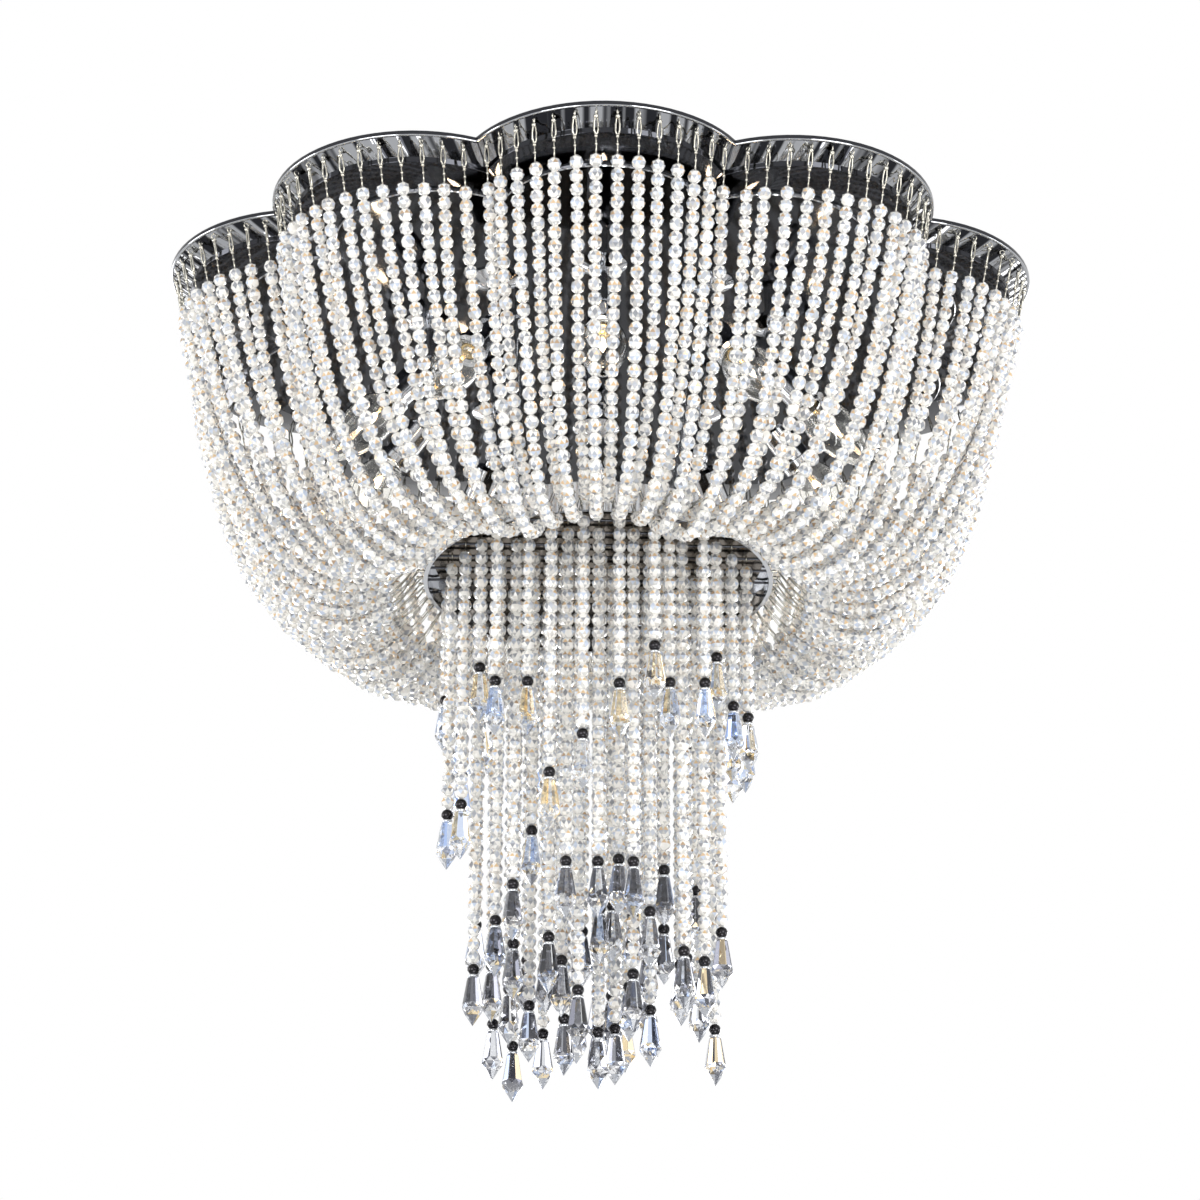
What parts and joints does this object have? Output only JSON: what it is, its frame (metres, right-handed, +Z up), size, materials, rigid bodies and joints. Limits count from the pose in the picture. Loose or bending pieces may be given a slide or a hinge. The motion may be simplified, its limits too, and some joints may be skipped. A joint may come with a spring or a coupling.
{
  "type": "crystal ceiling light",
  "caption": "Round scalloped ceiling light: mirror pan, bowl of strung crystal beads round candle lamps, and a hanging tail of bead strands with glass drops.",
  "frame": {"origin": "centre of the ceiling bracket's four screw holes, on the ceiling plane", "axes": "+Z up into the ceiling, the light hangs towards -Z, its front faces -Y"},
  "size_m": [0.6282, 0.6498, 0.5935],
  "materials": {
    "zinc_steel": "zinc plated",
    "mirror_steel": "mirror polished",
    "mirror_sheet": "mirror",
    "gilt_brass": "polished",
    "white_plastic": "gloss",
    "chrome_metal": "polished",
    "silver_wire": "polished",
    "clear_crystal": "faceted, clear",
    "drop_crystal": "faceted, clear",
    "bulb_glass": "clear, lit"
  },
  "bodies": {
    "fixed_frame": {"ceiling_bracket": "zinc_steel", "bracket_studs": "zinc_steel", "canopy_pan": "mirror_steel", "mirror_panel": "mirror_sheet", "cap_nuts": "gilt_brass", "terminal_block": "white_plastic", "hanger_rods": "chrome_metal", "rod_nuts": "chrome_metal", "cover_dishes": "chrome_metal", "lamp_stems": "chrome_metal", "stem_nuts": "gilt_brass", "lampholders": "chrome_metal", "lower_ring": "chrome_metal", "tail_tray": "mirror_sheet", "tail_rods": "chrome_metal", "rim_links": "silver_wire", "ring_pins": "silver_wire", "strand_wires": "silver_wire", "bead_lobe_1": "clear_crystal", "bead_lobe_2": "clear_crystal", "bead_lobe_3": "clear_crystal", "bead_lobe_4": "clear_crystal", "bead_lobe_5": "clear_crystal", "bead_lobe_6": "clear_crystal", "bead_lobe_7": "clear_crystal", "bead_lobe_8": "clear_crystal", "bead_lobe_9": "clear_crystal", "bead_lobe_10": "clear_crystal"},
    "bulb_body_1": {"bulb_1": "bulb_glass"},
    "bulb_body_2": {"bulb_2": "bulb_glass"},
    "bulb_body_3": {"bulb_3": "bulb_glass"},
    "bulb_body_4": {"bulb_4": "bulb_glass"},
    "bulb_body_5": {"bulb_5": "bulb_glass"},
    "bulb_body_6": {"bulb_6": "bulb_glass"},
    "bulb_body_7": {"bulb_7": "bulb_glass"},
    "bulb_body_8": {"bulb_8": "bulb_glass"},
    "bulb_body_9": {"bulb_9": "bulb_glass"},
    "bulb_body_10": {"bulb_10": "bulb_glass"},
    "tail_body_1": {"tail_row_1": "clear_crystal", "drop_row_1": "drop_crystal"},
    "tail_body_2": {"tail_row_2": "clear_crystal", "drop_row_2": "drop_crystal"},
    "tail_body_3": {"tail_row_3": "clear_crystal", "drop_row_3": "drop_crystal"},
    "tail_body_4": {"tail_row_4": "clear_crystal", "drop_row_4": "drop_crystal"},
    "tail_body_5": {"tail_row_5": "clear_crystal", "drop_row_5": "drop_crystal"},
    "tail_body_6": {"tail_row_6": "clear_crystal", "drop_row_6": "drop_crystal"},
    "tail_body_7": {"tail_row_7": "clear_crystal", "drop_row_7": "drop_crystal"},
    "tail_body_8": {"tail_row_8": "clear_crystal", "drop_row_8": "drop_crystal"},
    "tail_body_9": {"tail_row_9": "clear_crystal", "drop_row_9": "drop_crystal"},
    "tail_body_10": {"tail_row_10": "clear_crystal", "drop_row_10": "drop_crystal"},
    "tail_body_11": {"tail_row_11": "clear_crystal", "drop_row_11": "drop_crystal"}
  },
  "joints": [
    {"name": "bulb_turn_1", "type": "hinge", "parent": "fixed_frame", "child": "bulb_body_1", "pos_m": [0, -0.15128, -0.07898], "axis": [0, -0.6428, -0.766], "range_deg": [0, 720]},
    {"name": "bulb_turn_2", "type": "hinge", "parent": "fixed_frame", "child": "bulb_body_2", "pos_m": [0.08892, -0.12239, -0.07898], "axis": [0.3778, -0.52, -0.766], "range_deg": [0, 720]},
    {"name": "bulb_turn_3", "type": "hinge", "parent": "fixed_frame", "child": "bulb_body_3", "pos_m": [0.14388, -0.04675, -0.07898], "axis": [0.6113, -0.1986, -0.766], "range_deg": [0, 720]},
    {"name": "bulb_turn_4", "type": "hinge", "parent": "fixed_frame", "child": "bulb_body_4", "pos_m": [0.14388, 0.04675, -0.07898], "axis": [0.6113, 0.1986, -0.766], "range_deg": [0, 720]},
    {"name": "bulb_turn_5", "type": "hinge", "parent": "fixed_frame", "child": "bulb_body_5", "pos_m": [0.08892, 0.12239, -0.07898], "axis": [0.3778, 0.52, -0.766], "range_deg": [0, 720]},
    {"name": "bulb_turn_6", "type": "hinge", "parent": "fixed_frame", "child": "bulb_body_6", "pos_m": [0, 0.15128, -0.07898], "axis": [0, 0.6428, -0.766], "range_deg": [0, 720]},
    {"name": "bulb_turn_7", "type": "hinge", "parent": "fixed_frame", "child": "bulb_body_7", "pos_m": [-0.08892, 0.12239, -0.07898], "axis": [-0.3778, 0.52, -0.766], "range_deg": [0, 720]},
    {"name": "bulb_turn_8", "type": "hinge", "parent": "fixed_frame", "child": "bulb_body_8", "pos_m": [-0.14388, 0.04675, -0.07898], "axis": [-0.6113, 0.1986, -0.766], "range_deg": [0, 720]},
    {"name": "bulb_turn_9", "type": "hinge", "parent": "fixed_frame", "child": "bulb_body_9", "pos_m": [-0.14388, -0.04675, -0.07898], "axis": [-0.6113, -0.1986, -0.766], "range_deg": [0, 720]},
    {"name": "bulb_turn_10", "type": "hinge", "parent": "fixed_frame", "child": "bulb_body_10", "pos_m": [-0.08892, -0.12239, -0.07898], "axis": [-0.3778, -0.52, -0.766], "range_deg": [0, 720]},
    {"name": "tail_swing_1", "type": "hinge", "parent": "fixed_frame", "child": "tail_body_1", "pos_m": [0, -0.105, -0.2], "axis": [1, 0, 0], "range_deg": [-20, 20]},
    {"name": "tail_swing_2", "type": "hinge", "parent": "fixed_frame", "child": "tail_body_2", "pos_m": [0, -0.084, -0.2], "axis": [1, 0, 0], "range_deg": [-20, 20]},
    {"name": "tail_swing_3", "type": "hinge", "parent": "fixed_frame", "child": "tail_body_3", "pos_m": [0, -0.063, -0.2], "axis": [1, 0, 0], "range_deg": [-20, 20]},
    {"name": "tail_swing_4", "type": "hinge", "parent": "fixed_frame", "child": "tail_body_4", "pos_m": [0, -0.042, -0.2], "axis": [1, 0, 0], "range_deg": [-20, 20]},
    {"name": "tail_swing_5", "type": "hinge", "parent": "fixed_frame", "child": "tail_body_5", "pos_m": [0, -0.021, -0.2], "axis": [1, 0, 0], "range_deg": [-20, 20]},
    {"name": "tail_swing_6", "type": "hinge", "parent": "fixed_frame", "child": "tail_body_6", "pos_m": [0, 0, -0.2], "axis": [1, 0, 0], "range_deg": [-20, 20]},
    {"name": "tail_swing_7", "type": "hinge", "parent": "fixed_frame", "child": "tail_body_7", "pos_m": [0, 0.021, -0.2], "axis": [1, 0, 0], "range_deg": [-20, 20]},
    {"name": "tail_swing_8", "type": "hinge", "parent": "fixed_frame", "child": "tail_body_8", "pos_m": [0, 0.042, -0.2], "axis": [1, 0, 0], "range_deg": [-20, 20]},
    {"name": "tail_swing_9", "type": "hinge", "parent": "fixed_frame", "child": "tail_body_9", "pos_m": [0, 0.063, -0.2], "axis": [1, 0, 0], "range_deg": [-20, 20]},
    {"name": "tail_swing_10", "type": "hinge", "parent": "fixed_frame", "child": "tail_body_10", "pos_m": [0, 0.084, -0.2], "axis": [1, 0, 0], "range_deg": [-20, 20]},
    {"name": "tail_swing_11", "type": "hinge", "parent": "fixed_frame", "child": "tail_body_11", "pos_m": [0, 0.105, -0.2], "axis": [1, 0, 0], "range_deg": [-20, 20]}
  ],
  "couplings": [
    {"joint": "tail_swing_1", "follows": "tail_swing_6", "ratio": 1},
    {"joint": "tail_swing_2", "follows": "tail_swing_6", "ratio": 1},
    {"joint": "tail_swing_3", "follows": "tail_swing_6", "ratio": 1},
    {"joint": "tail_swing_4", "follows": "tail_swing_6", "ratio": 1},
    {"joint": "tail_swing_5", "follows": "tail_swing_6", "ratio": 1},
    {"joint": "tail_swing_7", "follows": "tail_swing_6", "ratio": 1},
    {"joint": "tail_swing_8", "follows": "tail_swing_6", "ratio": 1},
    {"joint": "tail_swing_9", "follows": "tail_swing_6", "ratio": 1},
    {"joint": "tail_swing_10", "follows": "tail_swing_6", "ratio": 1},
    {"joint": "tail_swing_11", "follows": "tail_swing_6", "ratio": 1}
  ]
}
